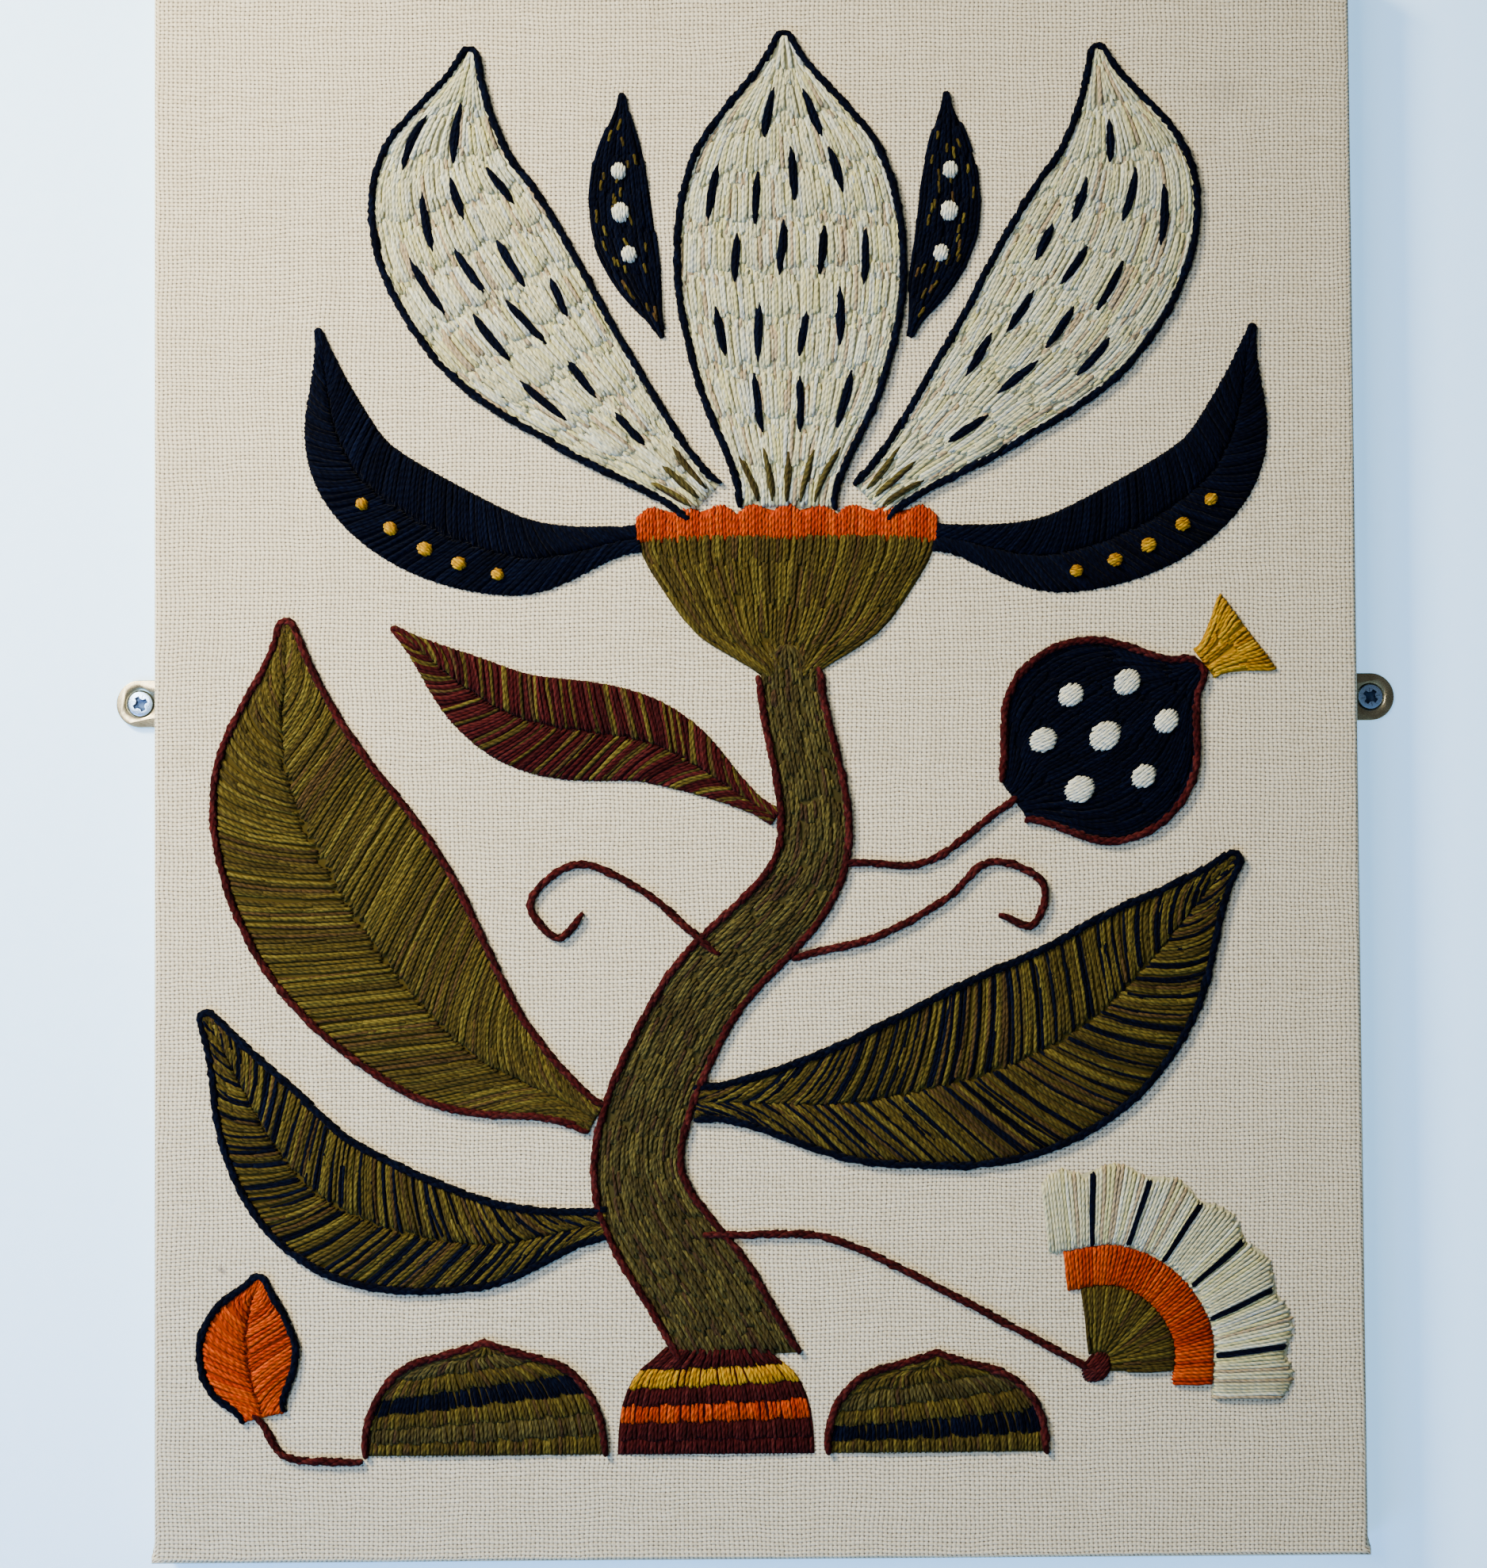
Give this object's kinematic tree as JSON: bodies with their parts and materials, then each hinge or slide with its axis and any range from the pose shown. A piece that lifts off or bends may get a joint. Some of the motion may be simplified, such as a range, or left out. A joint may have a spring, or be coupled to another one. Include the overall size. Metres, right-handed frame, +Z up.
{
  "type": "crewel embroidery panel on a stretcher frame",
  "caption": "Woven linen stretched over a wooden stretcher frame and worked all over in wool crewel stitches with a flowering tree, hung flat on a wall by a mirror plate at each side.",
  "frame": {"origin": "on the wall plane, midway between the two wall screws, on the panel's upright centre line", "axes": "+Z up, +Y into the wall, so the stitched front faces -Y; +X to the viewer's right when looking at the front"},
  "size_m": [0.4954, 0.0548, 0.61],
  "materials": {
    "linen": "matte",
    "pine": "matte",
    "zinc": "satin",
    "steel": "satin",
    "olive": "matte",
    "bark": "matte",
    "olive_navy": "matte",
    "olive_maroon": "matte",
    "maroon": "matte",
    "navy": "matte",
    "cream": "matte",
    "white": "matte",
    "orange": "matte",
    "gold": "matte"
  },
  "bodies": {
    "root": {"ground_cloth": "linen", "bar_top": "pine", "bar_bottom": "pine", "bar_left": "pine", "bar_right": "pine", "hanging_plate_left": "zinc", "hanging_plate_right": "zinc", "wall_screw_left": "steel", "wall_screw_right": "steel", "fixing_screw_left_1": "steel", "fixing_screw_left_2": "steel", "fixing_screw_right_1": "steel", "fixing_screw_right_2": "steel", "hill_left": "olive", "hill_middle": "maroon", "hill_right": "olive", "trunk": "bark", "calyx": "olive", "bloom_band": "orange", "petal_middle": "cream", "petal_left": "cream", "inner_left": "navy", "sepal_left": "navy", "petal_right": "cream", "inner_right": "navy", "sepal_right": "navy", "leaf_left": "olive", "leaf_low_left": "olive_navy", "leaf_high_left": "olive_maroon", "leaf_right": "olive_navy", "fruit": "navy", "fruit_crown": "gold", "fan_cup": "olive", "fan_band": "orange", "fan_fringe": "cream", "bud": "orange", "edge_hill_left": "maroon", "edge_hill_right": "maroon", "edge_trunk_left": "maroon", "edge_trunk_right": "maroon", "edge_petal_middle": "navy", "edge_petal_left": "navy", "edge_petal_right": "navy", "edge_leaf_left": "maroon", "edge_leaf_low_left": "navy", "edge_leaf_right": "navy", "edge_fruit": "maroon", "edge_bud": "navy", "stalk_fan": "maroon", "stalk_fruit": "maroon", "stalk_bud": "maroon", "curl_left": "maroon", "curl_right": "maroon", "fruit_dot_1": "white", "fruit_dot_2": "white", "fruit_dot_3": "white", "fruit_dot_4": "white", "fruit_dot_5": "white", "fruit_dot_6": "white", "fruit_dot_7": "white"}
  },
  "joints": []
}
